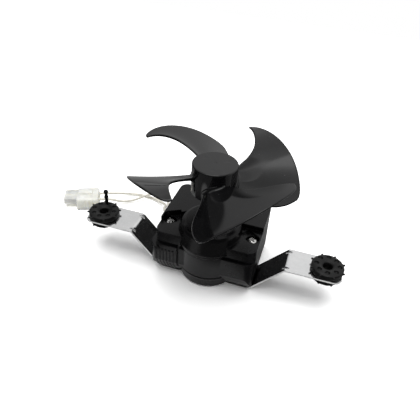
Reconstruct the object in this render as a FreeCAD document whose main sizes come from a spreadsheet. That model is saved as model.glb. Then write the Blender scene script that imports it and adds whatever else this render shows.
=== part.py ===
import FreeCAD
import Part
import Sketcher
import math
import os
import re

from FreeCAD import Placement, Rotation, Vector

# A small encapsulated shaded-pole fan motor with a four-blade fan on its shaft, clamped to a bent
# mounting strap that ends in two rubber grommets. The fan axis is +Z, the strap runs along X, and the
# origin is on the underside of the strap's flat middle, which is the face that the object stands on.

doc = FreeCAD.newDocument("FanMotor")
sheet = doc.addObject("Spreadsheet::Sheet", "Sizes")

SIZES = {
    # mounting strap, bent from flat strip
    "stripWidth": 19.05,
    "stripThick": 1.0,
    "seatHalf": 28.0,
    "shoulderHalf": 46.9,
    "earRise": 21.3,
    "earReach": 8.75,
    "bendRadius": 1.6,
    "stripCorner": 4.0,
    "earHoleRadius": 6.0,
    "dartRadius": 1.0,
    "dartInset": 2.6,
    # rubber grommets in the strap's ears
    "grommetSpacing": 139.5,
    "grommetBore": 2.6,
    "grommetFlange": 9.1,
    "grommetFlangeThick": 2.6,
    "grommetDome": 1.5,
    "grommetRecessRadius": 1.25,
    "grommetRecessPitch": 6.6,
    "grommetRecessDepth": 1.2,
    "grommetNubReach": 0.9,
    "grommetNubRadius": 0.55,
    "grommetNubs": 8,
    "grommetDish": 4.6,
    "grommetLowFlange": 8.8,
    "grommetLowThick": 4.0,
    "tailRadius": 1.0,
    "tailRise": 9.0,
    "tailX": -1.7,
    "tailY": 7.0,
    "tailHookReach": 1.6,
    # moulded housing
    "bodyHalf": 30.0,
    "bodyFront": 15.0,
    "bodyBack": 35.0,
    "bodyCorner": 5.0,
    "blockHalf": 33.4,
    "blockTop": 20.5,
    "blockRound": 3.0,
    "blockBack": 12.0,
    "gripRibRelief": 0.45,
    "gripRibWidth": 1.1,
    "gripRibPitch": 2.1,
    "gripRibs": 6,
    "wall": 2.0,
    "partingHeight": 23.5,
    "frontDeck": 31.5,
    "rearDeck": 34.3,
    "deckStep": 8.0,
    "bandBottom": 11.5,
    "plinthFront": 9.8,
    "bulgeRadius": 18.6,
    "skirtHeight": 26.0,
    "skirtRadius": 19.5,
    "drumRadius": 17.6,
    "drumTop": 38.0,
    "nozzleRadius": 7.0,
    "nozzleTop": 41.0,
    "capRadius": 17.2,
    "capRim": 18.2,
    "capTop": 9.0,
    "fitGap": 0.1,
    # clamp screws
    "screwSpacing": 50.8,
    "screwRadius": 1.5,
    "screwHeadRadius": 3.0,
    "screwHeadRise": 2.0,
    "screwSeat": 29.0,
    "screwBoss": 3.4,
    # shaft, bearings and rotor
    "shaftRadius": 1.6,
    "shaftBottom": 4.3,
    "shaftTop": 73.0,
    "runClear": 0.03,
    "bearingRadius": 4.5,
    "bearingLength": 4.6,
    "padThick": 1.0,
    "feltThick": 1.1,
    "clipThick": 0.5,
    "pocketWall": 1.9,
    "rotorRadius": 11.5,
    "airGap": 0.4,
    "stackBottom": 13.6,
    "stackHeight": 14.0,
    "endRingThick": 2.0,
    "rotorBars": 12,
    "barRadius": 0.9,
    "barPitch": 9.8,
    "spacerRadius": 2.7,
    # stator and coil
    "stackHalf": 21.0,
    "stackNose": 15.3,
    "stackFront": 8.0,
    "legWidth": 6.2,
    "windowFront": 16.2,
    "barWidth": 5.6,
    "barBack": 29.0,
    "bobbinWall": 0.8,
    "bobbinFlange": 1.0,
    "bobbinHalf": 13.8,
    "windingDepth": 2.6,
    "wrapThick": 0.3,
    "shadeWidth": 1.6,
    "shadeThick": 1.1,
    "shadeOffset": 15.6,
    # fan wheel, one moulding
    "hubRadius": 12.5,
    "hubBottom": 58.5,
    "hubTop": 76.3,
    "hubWall": 1.8,
    "hubBoss": 4.2,
    "bladeCount": 4,
    "bladeStart": -10.7,
    "bladeThick": 1.5,
    "rimRadius": 46.3,
    "cornerReach": 0.8,
    "rootHeight": 69.2,
    "rootPitch": 7.5,
    "rootCamber": 16.0,
    "rootSweep": 18.0,
    "rimHeight": 75.3,
    "rimPitch": 18.3,
    "rimCamber": -18.0,
    "rimSweep": -2.0,
    # leads and plug
    "leadRadius": 0.85,
    "glandY": 22.1,
    "glandZ": 18.0,
    "glandRadius": 3.6,
    "glandNose": 1.6,
    "leadSpacing": 2.4,
    "plugLength": 15.0,
    "plugWidth": 15.0,
    "plugHeight": 9.0,
    "plugRound": 0.8,
    "latchHalf": 2.4,
    "latchRise": 1.0,
    "gripReach": 0.6,
    "gripPitch": 2.6,
    "noseLength": 9.0,
    "noseWidth": 11.4,
    "noseHeight": 4.2,
    "noseShift": 1.5,
    "noseLevel": 5.4,
    "noseRib": 0.5,
    "noseRibWidth": 0.9,
    "contactPitch": 7.0,
    "contactStart": 3.0,
    "contactRadius": 1.3,
    "contactBore": 0.9,
}

for row, (alias, value) in enumerate(SIZES.items(), start=1):
    sheet.set("A%d" % row, alias)
    sheet.set("B%d" % row, str(value))
    sheet.setAlias("B%d" % row, alias)
doc.recompute()

WORD = re.compile(r"[A-Za-z_][A-Za-z_0-9]*")


def linked(text):
    """The expression with each size named through the sheet."""
    return WORD.sub(lambda m: "Sizes." + m.group(0) if m.group(0) in SIZES else m.group(0), str(text))


def read(text):
    """The value of an expression of named sizes."""
    return float(sheet.evalExpression(linked(text)))


def body(label):
    piece = doc.addObject("PartDesign::Body", label)
    piece.Label = label
    return piece


def plane(piece, role):
    return next(f for f in piece.Origin.OriginFeatures if f.Role == role)


def sketch(piece, role="XY_Plane", level=None):
    """A sketch on one of the body's own planes, lifted along the plane's normal."""
    made = piece.newObject("Sketcher::SketchObject", piece.Label + "Sketch")
    made.AttachmentSupport = (plane(piece, role), [""])
    made.MapMode = "FlatFace"
    if level is not None:
        made.setExpression("AttachmentOffset.Base.z", linked(level))
    return made


def outline(made, points):
    """A closed polygon whose every corner is bound to two expressions."""
    spots = [Vector(read(x), read(y), 0) for x, y in points]
    first = made.GeometryCount
    count = len(spots)
    for i in range(count):
        made.addGeometry(Part.LineSegment(spots[i], spots[(i + 1) % count]), False)
    for i in range(count):
        made.addConstraint(Sketcher.Constraint("Coincident", first + i, 2, first + (i + 1) % count, 1))
    for i, (x, y) in enumerate(points):
        for kind, text, value in (("DistanceX", x, spots[i].x), ("DistanceY", y, spots[i].y)):
            index = made.addConstraint(Sketcher.Constraint(kind, -1, 1, first + i, 1, value))
            made.setExpression("Constraints[%d]" % index, linked(text))
    return made


def box_outline(made, x0, y0, x1, y1):
    return outline(made, [(x0, y0), (x1, y0), (x1, y1), (x0, y1)])


def ring(made, radius, x="0", y="0"):
    """A circle whose radius and centre are bound to expressions."""
    centre = Vector(read(x), read(y), 0)
    index = made.addGeometry(Part.Circle(centre, Vector(0, 0, 1), read(radius)), False)
    made.setExpression("Constraints[%d]" % made.addConstraint(
        Sketcher.Constraint("Radius", index, read(radius))), linked(radius))
    for kind, text, value in (("DistanceX", x, centre.x), ("DistanceY", y, centre.y)):
        bound = made.addConstraint(Sketcher.Constraint(kind, -1, 1, index, 3, value))
        made.setExpression("Constraints[%d]" % bound, linked(text))
    return made


def feature(piece, kind, profile, **expressions):
    made = piece.newObject("PartDesign::" + kind, piece.Label + kind)
    made.Profile = profile
    for name, text in expressions.items():
        made.setExpression(name, linked(text))
    return made


def pad(piece, profile, length):
    return feature(piece, "Pad", profile, Length=length)


def pocket(piece, profile, depth, upward=False):
    """Cuts downward from the sketch's level, or upward when asked, and makes sure that it cut."""
    doc.recompute()
    before = piece.Shape.Volume
    made = feature(piece, "Pocket", profile, Length=depth)
    made.Reversed = upward
    doc.recompute()
    if piece.Shape.Volume > before - 1e-3:
        raise ValueError(piece.Label + ": a pocket cut nothing")
    return made


def turned(piece, points, kind="Revolution", role="XZ_Plane"):
    profile = outline(sketch(piece, role), points)
    made = piece.newObject("PartDesign::" + kind, piece.Label + kind)
    made.Profile = profile
    made.ReferenceAxis = (profile, ["V_Axis"])
    made.Angle = 360
    return made


def polar(piece, original, count):
    made = piece.newObject("PartDesign::PolarPattern", piece.Label + "Polar")
    made.Originals = [original]
    made.Axis = (plane(piece, "Z_Axis"), [""])
    made.Angle = 360
    made.setExpression("Occurrences", linked(count))
    piece.Tip = made
    return made


def row(piece, original, pitch, count):
    """Copies along +X."""
    made = piece.newObject("PartDesign::LinearPattern", piece.Label + "Row")
    made.Originals = [original]
    made.Direction = (plane(piece, "X_Axis"), [""])
    made.setExpression("Length", linked("(%s) * (%s - 1)" % (pitch, count)))
    made.setExpression("Occurrences", linked(count))
    piece.Tip = made
    return made


def edges_where(shape, test):
    return ["Edge%d" % (i + 1) for i, e in enumerate(shape.Edges) if test(e)]


def rounded(piece, radius, test, kind="Fillet"):
    """A fillet or chamfer on the edges of the body that pass the test."""
    doc.recompute()
    base = piece.Tip
    names = edges_where(base.Shape, test)
    if not names:
        raise ValueError(piece.Label + ": no edge to round")
    made = piece.newObject("PartDesign::" + kind, piece.Label + kind)
    made.Base = (base, names)
    made.setExpression("Size" if kind == "Chamfer" else "Radius", linked(radius))
    piece.Tip = made
    return made


def upright(edge):
    """True for a straight edge along Z."""
    a, b = edge.Vertexes[0].Point, edge.Vertexes[-1].Point
    return len(edge.Vertexes) == 2 and abs(a.x - b.x) + abs(a.y - b.y) < 1e-6 and abs(a.z - b.z) > 1e-6


def circle_at(edge, radius, height):
    """True for a circular edge of this radius about a vertical axis at this height."""
    curve = edge.Curve
    return (isinstance(curve, Part.Circle) and abs(curve.Radius - radius) < 1e-4
            and abs(curve.Center.z - height) < 1e-4)


def shaped(label, shape):
    made = doc.addObject("Part::Feature", label)
    made.Label = label
    made.Shape = shape
    return made


def tube(label, outer, inner, bottom, height):
    """A plain ring about the fan axis."""
    piece = body(label)
    profile = ring(ring(sketch(piece, level=bottom), outer), inner)
    pad(piece, profile, height)
    return piece


# The strap's half length, and levels that several pieces share
STRIP_HALF = "(grommetSpacing / 2 + earReach)"
POCKET_FLOOR = "shaftBottom - padThick - 0.1"
LOW_BEARING = "shaftBottom + 0.1"
LOW_FELT = "shaftBottom + 0.1 + bearingLength"
LOW_CLIP = "shaftBottom + 0.1 + bearingLength + feltThick"
LOW_MOUTH = "shaftBottom + 0.1 + bearingLength + feltThick + clipThick"
STACK_TOP = "stackBottom + stackHeight"
HIGH_BEARING = "nozzleTop - wall - bearingLength"
HIGH_FELT = "nozzleTop - wall - bearingLength - feltThick"
HIGH_CLIP = "nozzleTop - wall - bearingLength - feltThick - clipThick"


def mounting_strap():
    """Strip bent down to a flat seat between two raised ears, with a hole for each grommet and screw."""
    piece = body("strap_blank")
    top = [("-" + STRIP_HALF, "earRise + stripThick"), ("-shoulderHalf", "earRise + stripThick"),
           ("-seatHalf", "stripThick"), ("seatHalf", "stripThick"),
           ("shoulderHalf", "earRise + stripThick"), (STRIP_HALF, "earRise + stripThick")]
    half = "stripThick * (sqrt((shoulderHalf - seatHalf)^2 + earRise^2) - (shoulderHalf - seatHalf)) / earRise"
    bottom = [(STRIP_HALF, "earRise"), ("shoulderHalf + " + half, "earRise"),
              ("seatHalf + " + half, "0"), ("-seatHalf - " + half, "0"),
              ("-shoulderHalf - " + half, "earRise"), ("-" + STRIP_HALF, "earRise")]
    profile = outline(sketch(piece, "XZ_Plane"), top + bottom)
    strip = pad(piece, profile, "stripWidth")
    strip.Midplane = True
    bends = {"inner": ((read("seatHalf"), read("stripThick")),
                       (read("shoulderHalf") + read(half), read("earRise"))),
             "outer": ((read("seatHalf") + read(half), 0.0),
                       (read("shoulderHalf"), read("earRise + stripThick")))}

    def at(edge, corners):
        spots = [v.Point for v in edge.Vertexes]
        across = abs(spots[0].y - spots[1].y) > 1
        return across and any(abs(abs(spots[0].x) - x) + abs(spots[0].z - z) < 1e-3 for x, z in corners)

    rounded(piece, "bendRadius", lambda e: at(e, bends["inner"]))
    rounded(piece, "bendRadius + stripThick", lambda e: at(e, bends["outer"]))
    rounded(piece, "stripCorner", lambda e: upright(e) and abs(abs(e.Vertexes[0].X) - read(STRIP_HALF)) < 1e-6)
    holes = sketch(piece, level="earRise + stripThick + 1")
    for side in ("-", ""):
        ring(holes, "earHoleRadius", side + "grommetSpacing / 2")
        ring(holes, "screwRadius + fitGap / 2", side + "screwSpacing / 2")
    pocket(piece, holes, "earRise + stripThick + 2")
    return shaped("mounting_strap", darted(piece.Shape))


def darted(strip):
    """Presses a short stiffening dart across each shoulder bend, near both edges of the strip."""
    rise, run = read("earRise"), read("shoulderHalf - seatHalf")
    half = math.atan2(rise, run) / 2
    top = rise + read("stripThick")
    reach = 8.0
    for side in (-1, 1):
        x = side * read("shoulderHalf")
        corners = [(x - side * reach, top - reach * rise / run), (x, top), (x + side * reach, top),
                   (x + side * reach, top - reach), (x - side * reach, top - 2 * reach)]
        along = Vector(side * math.cos(half), 0, math.sin(half))
        for edge in (-1, 1):
            y = edge * read("stripWidth / 2 - dartInset")
            start = Vector(x, y, top) - along * reach / 2
            bump = Part.makeCylinder(read("dartRadius + 0.9 * stripThick"), reach, start, along)
            wall = Part.Face(Part.makePolygon([Vector(a, y - reach, c) for a, c in corners + corners[:1]]))
            bump = bump.common(wall.extrude(Vector(0, 2 * reach, 0)))
            strip = strip.fuse(bump).cut(Part.makeCylinder(read("dartRadius"), reach, start, along))
    return strip


def grommet(label, side, with_tail):
    """Rubber isolator: two flanges on a waist, a dished top with recesses, and nubs round both rims."""
    piece = body(label)
    flange_top = "stripThick + grommetFlangeThick"
    waist = "earHoleRadius - fitGap / 2"
    turned(piece, [
        ("grommetBore", "-grommetLowThick"),
        ("grommetLowFlange - 2.4", "-grommetLowThick"),
        ("grommetLowFlange", "-grommetLowThick + 2"),
        ("grommetLowFlange", "0"),
        (waist, "0"),
        (waist, "stripThick"),
        ("grommetFlange", "stripThick"),
        ("grommetFlange", flange_top + " - 0.8"),
        ("grommetFlange - 0.7", flange_top),
        ("grommetDish + 1.4", flange_top + " + grommetDome - 0.3"),
        ("grommetDish + 0.5", flange_top + " + grommetDome"),
        ("grommetDish - 0.3", flange_top + " + grommetDome - 0.2"),
        ("grommetBore", flange_top + " + grommetDome - 1.6"),
    ])
    nubs = []
    for level, height, reach in (("stripThick + 0.5", "grommetFlangeThick - 1", "grommetFlange"),
                                 ("-grommetLowThick + 1.2", "grommetLowThick - 1.6", "grommetLowFlange")):
        nub = outline(sketch(piece, level=level), [
            (reach + " - 1", "-grommetNubRadius"), (reach + " + grommetNubReach", "-grommetNubRadius"),
            (reach + " + grommetNubReach", "grommetNubRadius"), (reach + " - 1", "grommetNubRadius")])
        nubs.append(polar(piece, pad(piece, nub, height), "grommetNubs"))
    hole = ring(sketch(piece, level=flange_top + " + grommetDome"), "grommetRecessRadius",
                "grommetRecessPitch * cos(22.5)", "grommetRecessPitch * sin(22.5)")
    polar(piece, pocket(piece, hole, "grommetDome + grommetRecessDepth"), "grommetNubs")
    if with_tail:
        stem = ring(sketch(piece, level=flange_top + " - 0.8"), "tailRadius", "tailX", "tailY")
        pad(piece, stem, "tailRise + 0.8")
        for level, height in (("tailRise - 4.6", "1.3"), ("tailRise - 1.3", "1.3")):
            hook = box_outline(sketch(piece, level=flange_top + " + " + level), "tailX - tailRadius - tailHookReach",
                               "tailY - tailRadius * 0.7", "tailX", "tailY + tailRadius * 0.7")
            pad(piece, hook, height)
    piece.setExpression("Placement.Base.x", linked(side + "grommetSpacing / 2"))
    piece.setExpression("Placement.Base.z", linked("earRise"))
    return piece


def screw_bosses(piece, bottom, height):
    """Solid pillars round the two clamp screws, and then the screws' clearance holes."""
    pillars = sketch(piece, level=bottom)
    for side in ("-", ""):
        ring(pillars, "screwBoss", side + "screwSpacing / 2")
    return pad(piece, pillars, height)


def screw_holes(piece, top, depth):
    holes = sketch(piece, level=top)
    for side in ("-", ""):
        ring(holes, "screwRadius + fitGap", side + "screwSpacing / 2")
    return pocket(piece, holes, depth)


def lower_housing():
    """Lower moulding: a box with a round bulge in front of the rotor, a receding plinth and grip ribs."""
    piece = body("lower_housing")
    base = box_outline(sketch(piece, level="stripThick"), "-bodyHalf", "-bodyFront", "bodyHalf", "bodyBack")
    pad(piece, base, "partingHeight - stripThick")
    rounded(piece, "bodyCorner", upright)
    block = outline(sketch(piece, level="stripThick"), [
        ("-blockHalf", "-bodyFront + 5"), ("-blockHalf + 3.6", "-bodyFront"), ("-bodyHalf + 6", "-bodyFront"),
        ("-bodyHalf + 6", "blockBack"), ("-blockHalf + 1.5", "blockBack"), ("-blockHalf", "blockBack - 1.5")])
    pad(piece, block, "blockTop - stripThick")
    rounded(piece, "blockRound", lambda e: upright(e) and (
        abs(e.Vertexes[0].X + read("blockHalf")) < 1e-6 and e.Vertexes[0].Y < 0
        or abs(e.Vertexes[0].X + read("blockHalf - 3.6")) < 1e-6))
    slant = [("-bodyFront", "bandBottom"), ("-bodyFront + 1.3", "bandBottom - 3.4"),
             ("-bodyFront + 3.4", "bandBottom - 7"), ("-plinthFront", "stripThick + 1")]
    under = outline(sketch(piece, "YZ_Plane", "-blockHalf - 1"), [
        ("-bodyFront - 1", "0"), ("-bodyFront - 1", "bandBottom")] + slant + [("-plinthFront", "0")])
    pocket(piece, under, "bodyHalf + blockHalf + 2", upward=True)
    face = [("%s - gripRibRelief" % y, z) for y, z in slant]
    rib = outline(sketch(piece, "YZ_Plane", "-blockHalf + 4.2"), [
        ("-bodyFront + 2.5", "blockTop - 0.5"), ("-bodyFront - gripRibRelief", "blockTop - 0.5")] + face
        + [("-plinthFront + 2.5", "stripThick + 1")])
    row(piece, pad(piece, rib, "gripRibWidth"), "gripRibPitch", "gripRibs")
    run = "(shoulderHalf - seatHalf) / earRise"
    for side in ("-", ""):
        sign = side if side else "+"
        reach = "0 %s (blockHalf + 2)" % sign
        foot = "0 %s (seatHalf - 1.2)" % sign
        wedge = outline(sketch(piece, "XZ_Plane", "-bodyBack - 1"), [
            (foot, "0"), (reach, "0"),
            (reach, "stripThick + (blockHalf + 2 - seatHalf + 1.2) / (%s)" % run),
            (foot, "stripThick")])
        pocket(piece, wedge, "bodyBack + bodyFront + 2", upward=True)
    bulge = ring(sketch(piece, level="capTop"), "bulgeRadius")
    pad(piece, bulge, "partingHeight - capTop")
    hollow = box_outline(sketch(piece, level="partingHeight"), "-bodyHalf + wall", "-bodyFront + wall",
                         "bodyHalf - wall", "bodyBack - wall")
    pocket(piece, hollow, "partingHeight - stackBottom + shadeThick + 0.3")
    well = box_outline(sketch(piece, level="partingHeight"), "-bobbinHalf - 1.5", "windowFront + 3",
                       "bobbinHalf + 1.5", "bodyBack - wall")
    pocket(piece, well, "partingHeight - stackBottom + bobbinWall + windingDepth + wrapThick + 2")
    chamber = ring(sketch(piece, level="partingHeight"), "bulgeRadius - wall")
    pocket(piece, chamber, "partingHeight - capTop - wall")
    seat = ring(sketch(piece, level="capTop"), "capRim + fitGap")
    pocket(piece, seat, "capTop")
    spigot = ring(sketch(piece, level="capTop + wall + 1"), "capRim - wall - 1")
    pocket(piece, spigot, "wall + 2")
    posts = sketch(piece, level="stackBottom - shadeThick - 0.3")
    for side in ("-", ""):
        for y in ("-stackFront + 2.2", "windowFront + 3"):
            ring(posts, "1.6", side + "(stackHalf - 2.4)", y)
    pad(piece, posts, "shadeThick + 0.3")
    screw_bosses(piece, "stackBottom - shadeThick - 0.4", "partingHeight - stackBottom + shadeThick + 0.4")
    screw_holes(piece, "partingHeight", "partingHeight")
    doc.recompute()
    groove = box_outline(sketch(piece, level="partingHeight + 1"), "-bulgeRadius + 3.0", "-bodyFront - 1",
                         "-bulgeRadius + 4.3", "-bodyFront + wall - 0.5")
    pocket(piece, groove, "partingHeight")
    mouth = ring(sketch(piece, "YZ_Plane", "-bodyHalf - 1"), "glandRadius - 1 + fitGap", "glandY", "glandZ")
    pocket(piece, mouth, "wall + 2", upward=True)
    return piece


def upper_housing():
    """Upper moulding: a two-level deck, the round drum over the rotor and the bearing nozzle on it."""
    piece = body("upper_housing")
    front = "-bodyFront + 1.4"
    base = box_outline(sketch(piece, level="partingHeight"), "-bodyHalf", front, "bodyHalf", "bodyBack")
    pad(piece, base, "frontDeck - partingHeight")
    deck = outline(sketch(piece, level="partingHeight"), [
        ("-bodyHalf", "-3"), ("-drumRadius + 0.4", "deckStep - 0.5"), ("drumRadius - 1.5", "deckStep"),
        ("bodyHalf", "deckStep"), ("bodyHalf", "bodyBack"), ("-bodyHalf", "bodyBack")])
    pad(piece, deck, "rearDeck - partingHeight")
    rounded(piece, "bodyCorner", lambda e: upright(e) and abs(abs(e.Vertexes[0].X) - read("bodyHalf")) < 1e-6
            and (abs(e.Vertexes[0].Y - read("bodyBack")) < 1e-6 or abs(e.Vertexes[0].Y - read(front)) < 1e-6))
    neck = ring(sketch(piece, level="partingHeight"), "bulgeRadius")
    pad(piece, neck, "skirtHeight - partingHeight")
    turned(piece, [("0", "skirtHeight"), ("skirtRadius", "skirtHeight"), ("skirtRadius", "skirtHeight + 1.4"),
                   ("drumRadius + 0.2", "drumTop - 2.4"), ("drumRadius - 0.9", "drumTop - 0.8"),
                   ("drumRadius - 2.8", "drumTop"), ("nozzleRadius + 1", "drumTop"),
                   ("nozzleRadius", "drumTop + 1"), ("nozzleRadius", "nozzleTop - 0.8"),
                   ("nozzleRadius - 0.8", "nozzleTop"), ("0", "nozzleTop")])
    low = box_outline(sketch(piece, level="partingHeight"), "-bodyHalf + wall", front + " + wall",
                      "bodyHalf - wall", "bodyBack - wall")
    pocket(piece, low, "frontDeck - wall - partingHeight", upward=True)
    high = box_outline(sketch(piece, level="partingHeight"), "-bodyHalf + wall", "deckStep + wall",
                       "bodyHalf - wall", "bodyBack - wall")
    pocket(piece, high, "rearDeck - wall - partingHeight", upward=True)
    chamber = ring(sketch(piece, level="partingHeight"), "drumRadius - wall")
    pocket(piece, chamber, "drumTop - wall - partingHeight", upward=True)
    sleeve = ring(sketch(piece, level=HIGH_CLIP), "bearingRadius + pocketWall")
    pad(piece, sleeve, "drumTop - (%s)" % HIGH_CLIP)
    bore = ring(sketch(piece, level=HIGH_CLIP), "bearingRadius")
    pocket(piece, bore, "feltThick + clipThick + bearingLength", upward=True)
    exit_hole = ring(sketch(piece, level="nozzleTop"), "shaftRadius + 0.8")
    pocket(piece, exit_hole, "wall + 1")
    screw_bosses(piece, "partingHeight", "screwSeat - partingHeight + 1")
    screw_holes(piece, "rearDeck + 1", "rearDeck - partingHeight + 1")
    recess = sketch(piece, level="rearDeck + 1")
    for side in ("-", ""):
        ring(recess, "screwHeadRadius + 1", side + "screwSpacing / 2")
    pocket(piece, recess, "rearDeck + 1 - screwSeat")
    for side in ("-", ""):
        sign = side if side else "+"
        x = "0 %s screwSpacing / 2" % sign
        back = "-" if sign == "+" else "+"
        slot = outline(sketch(piece, level="rearDeck + 1"), [
            ("%s %s 2.9" % (x, sign), "2.9"), ("%s %s 2.9" % (x, back), "-2.9"),
            ("%s %s 7.3" % (x, back), "2.2"), ("%s %s 4.2" % (x, back), "7.2")])
        pocket(piece, slot, "rearDeck + 1 - screwSeat - 1.2")
    return piece


def bearing_cap():
    """Round bottom cap that carries the lower bearing and straddles the strap."""
    piece = body("bearing_cap")
    turned(piece, [
        ("0", "0"), ("capRadius - 1.2", "0"), ("capRadius", "1.2"), ("capRim - 0.2", "capTop - 2.4"),
        ("capRim", "capTop - 1.9"), ("capRim", "capTop - 1.1"), ("capRim - 0.7", "capTop - 0.8"),
        ("capRim - 0.7", "capTop"), ("capRim - wall - 1.1", "capTop"), ("capRim - wall - 1.1", "capTop + wall"),
        ("capRim - 2 * wall - 0.6", "capTop + wall"), ("capRim - 2 * wall - 0.6", "stripThick + wall"),
        ("bearingRadius + pocketWall", "stripThick + wall"), ("bearingRadius + pocketWall", LOW_MOUTH),
        ("bearingRadius", LOW_MOUTH), ("bearingRadius", POCKET_FLOOR), ("0", POCKET_FLOOR)])
    saddle = box_outline(sketch(piece, level="stripThick"), "-capRim - 1", "-stripWidth / 2 - fitGap",
                         "capRim + 1", "stripWidth / 2 + fitGap")
    pocket(piece, saddle, "stripThick + 1")
    return piece


def clamp_screws():
    """The two long screws that clamp both mouldings to the strap, as one group of two solids."""
    made = []
    for side in (-1, 1):
        x = side * read("screwSpacing / 2")
        seat = read("screwSeat")
        shank = Part.makeCylinder(read("screwRadius"), seat - 0.1, Vector(x, 0, 0.1))
        head = Part.makeCylinder(read("screwHeadRadius"), read("screwHeadRise"), Vector(x, 0, seat))
        crown = [e for e in head.Edges if circle_at(e, read("screwHeadRadius"), seat + read("screwHeadRise"))]
        head = head.makeFillet(0.8, crown)
        screw = shank.fuse(head).removeSplitter()
        for turn in (0, 90):
            blade = Part.makeBox(3.6, 0.8, 2.0, Vector(-1.8, -0.4, 0))
            blade.rotate(Vector(0, 0, 0), Vector(0, 0, 1), turn + 20)
            blade.translate(Vector(x, 0, seat + read("screwHeadRise") - 1.1))
            screw = screw.cut(blade)
        made.append(screw)
    return shaped("clamp_screws", Part.makeCompound(made))


def shaft():
    piece = body("shaft")
    turned(piece, [("0", "shaftBottom"), ("shaftRadius - 0.4", "shaftBottom"), ("shaftRadius", "shaftBottom + 0.4"),
                   ("shaftRadius", "shaftTop - 0.4"), ("shaftRadius - 0.4", "shaftTop"), ("0", "shaftTop")])
    return piece


def bearing(label, level):
    """Sintered bush with chamfered ends."""
    piece = body(label)
    inner = "shaftRadius + runClear"
    turned(piece, [(inner, level), ("bearingRadius - 0.5", level), ("bearingRadius", level + " + 0.5"),
                   ("bearingRadius", level + " + bearingLength - 0.5"),
                   ("bearingRadius - 0.5", level + " + bearingLength"), (inner, level + " + bearingLength")])
    return piece


def rotor_core():
    """Stack of round laminations with a hole for each cage bar."""
    piece = body("rotor_core")
    disc = ring(ring(sketch(piece, level="stackBottom"), "rotorRadius"), "shaftRadius")
    pad(piece, disc, "stackHeight")
    hole = ring(sketch(piece, level=STACK_TOP), "barRadius", "barPitch")
    cut = pocket(piece, hole, "stackHeight")
    polar(piece, cut, "rotorBars")
    return piece


def rotor_cage():
    """Cast cage: an end ring above and below, joined by bars through the core."""
    piece = body("rotor_cage")
    for level in ("stackBottom - endRingThick", STACK_TOP):
        end = ring(ring(sketch(piece, level=level), "rotorRadius - 0.3"), "barPitch - 2.2")
        pad(piece, end, "endRingThick")
        if level != STACK_TOP:
            bar = ring(sketch(piece, level="stackBottom - 0.5"), "barRadius", "barPitch")
            polar(piece, pad(piece, bar, "stackHeight + 1"), "rotorBars")
    return piece


def stator_stack():
    """C-frame lamination stack: the rotor bore in a round nose, and two legs back to the coil bar."""
    piece = body("stator_stack")
    frame_plan = outline(sketch(piece, level="stackBottom"), [
        ("-stackHalf", "-stackFront"), ("stackHalf", "-stackFront"), ("stackHalf", "barBack"),
        ("stackHalf - legWidth", "barBack"), ("stackHalf - legWidth", "windowFront"),
        ("-stackHalf + legWidth", "windowFront"), ("-stackHalf + legWidth", "barBack"), ("-stackHalf", "barBack")])
    pad(piece, frame_plan, "stackHeight")
    nose = ring(sketch(piece, level="stackBottom"), "stackNose")
    pad(piece, nose, "stackHeight")
    bore = ring(sketch(piece, level=STACK_TOP), "rotorRadius + airGap")
    pocket(piece, bore, "stackHeight")
    slots = sketch(piece, level=STACK_TOP)
    for side in ("-", ""):
        sign = side if side else "+"
        box_outline(slots, "0 %s shadeOffset - shadeWidth / 2 - 0.1" % sign,
                    "-stackFront + 1.6", "0 %s shadeOffset + shadeWidth / 2 + 0.1" % sign,
                    "-stackFront + 1.8 + shadeThick")
    pocket(piece, slots, "stackHeight")
    return piece


def coil_bar():
    """Straight lamination pack that carries the coil and closes the frame between its legs."""
    piece = body("coil_bar")
    plan = box_outline(sketch(piece, level="stackBottom"), "-stackHalf + legWidth", "barBack - barWidth",
                       "stackHalf - legWidth", "barBack")
    pad(piece, plan, "stackHeight")
    return piece


def wound_ring(label, gap_in, gap_out, x0, x1):
    """A rectangular ring round the coil bar, between two offsets from it."""
    piece = body(label)

    def rectangle(made, gap):
        return box_outline(made, "barBack - barWidth - (%s)" % gap, "stackBottom - (%s)" % gap,
                           "barBack + (%s)" % gap, "stackBottom + stackHeight + (%s)" % gap)

    profile = rectangle(rectangle(sketch(piece, "YZ_Plane", x0), gap_out), gap_in)
    pad(piece, profile, "(%s) - (%s)" % (x1, x0))
    return piece


def coil_bobbin():
    piece = wound_ring("coil_bobbin", "0.05", "bobbinWall", "-bobbinHalf", "bobbinHalf")
    for x0 in ("-bobbinHalf", "bobbinHalf - bobbinFlange"):
        flange = sketch(piece, "YZ_Plane", x0)
        for gap in ("bobbinWall + windingDepth + 0.2", "0.05"):
            box_outline(flange, "barBack - barWidth - (%s)" % gap, "stackBottom - (%s)" % gap,
                        "barBack + (%s)" % gap, "stackBottom + stackHeight + (%s)" % gap)
        pad(piece, flange, "bobbinFlange")
    return piece


def shading_ring(label, side):
    """Copper loop through the pole slot and round the front of the stack."""
    piece = body(label)
    sign = "-" if side < 0 else "+"
    profile = sketch(piece, "YZ_Plane", "0 %s shadeOffset - shadeWidth / 2" % sign)
    box_outline(profile, "-stackFront - shadeThick - 0.05", "stackBottom - shadeThick",
                "-stackFront + 1.7 + shadeThick", "stackBottom + stackHeight + shadeThick")
    box_outline(profile, "-stackFront - 0.05", "stackBottom - 0.02",
                "-stackFront + 1.7", "stackBottom + stackHeight + 0.02")
    pad(piece, profile, "shadeWidth")
    return piece


def blade_height(fraction, angle):
    """Height of the blade's upper face at a share of the way from hub to rim and an angle from the tip."""
    p = math.radians(angle + 40)
    terms = []
    for root, rim in (("rootHeight", "rimHeight"), ("rootPitch", "rimPitch"),
                      ("rootCamber", "rimCamber"), ("rootSweep", "rimSweep")):
        terms.append(read(root) + (read(rim) - read(root)) * fraction)
    lift = terms[0] + terms[1] * p + terms[2] * p * p + terms[3] * p ** 3
    return lift - 2.0 * fraction * (1 - fraction)


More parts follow.
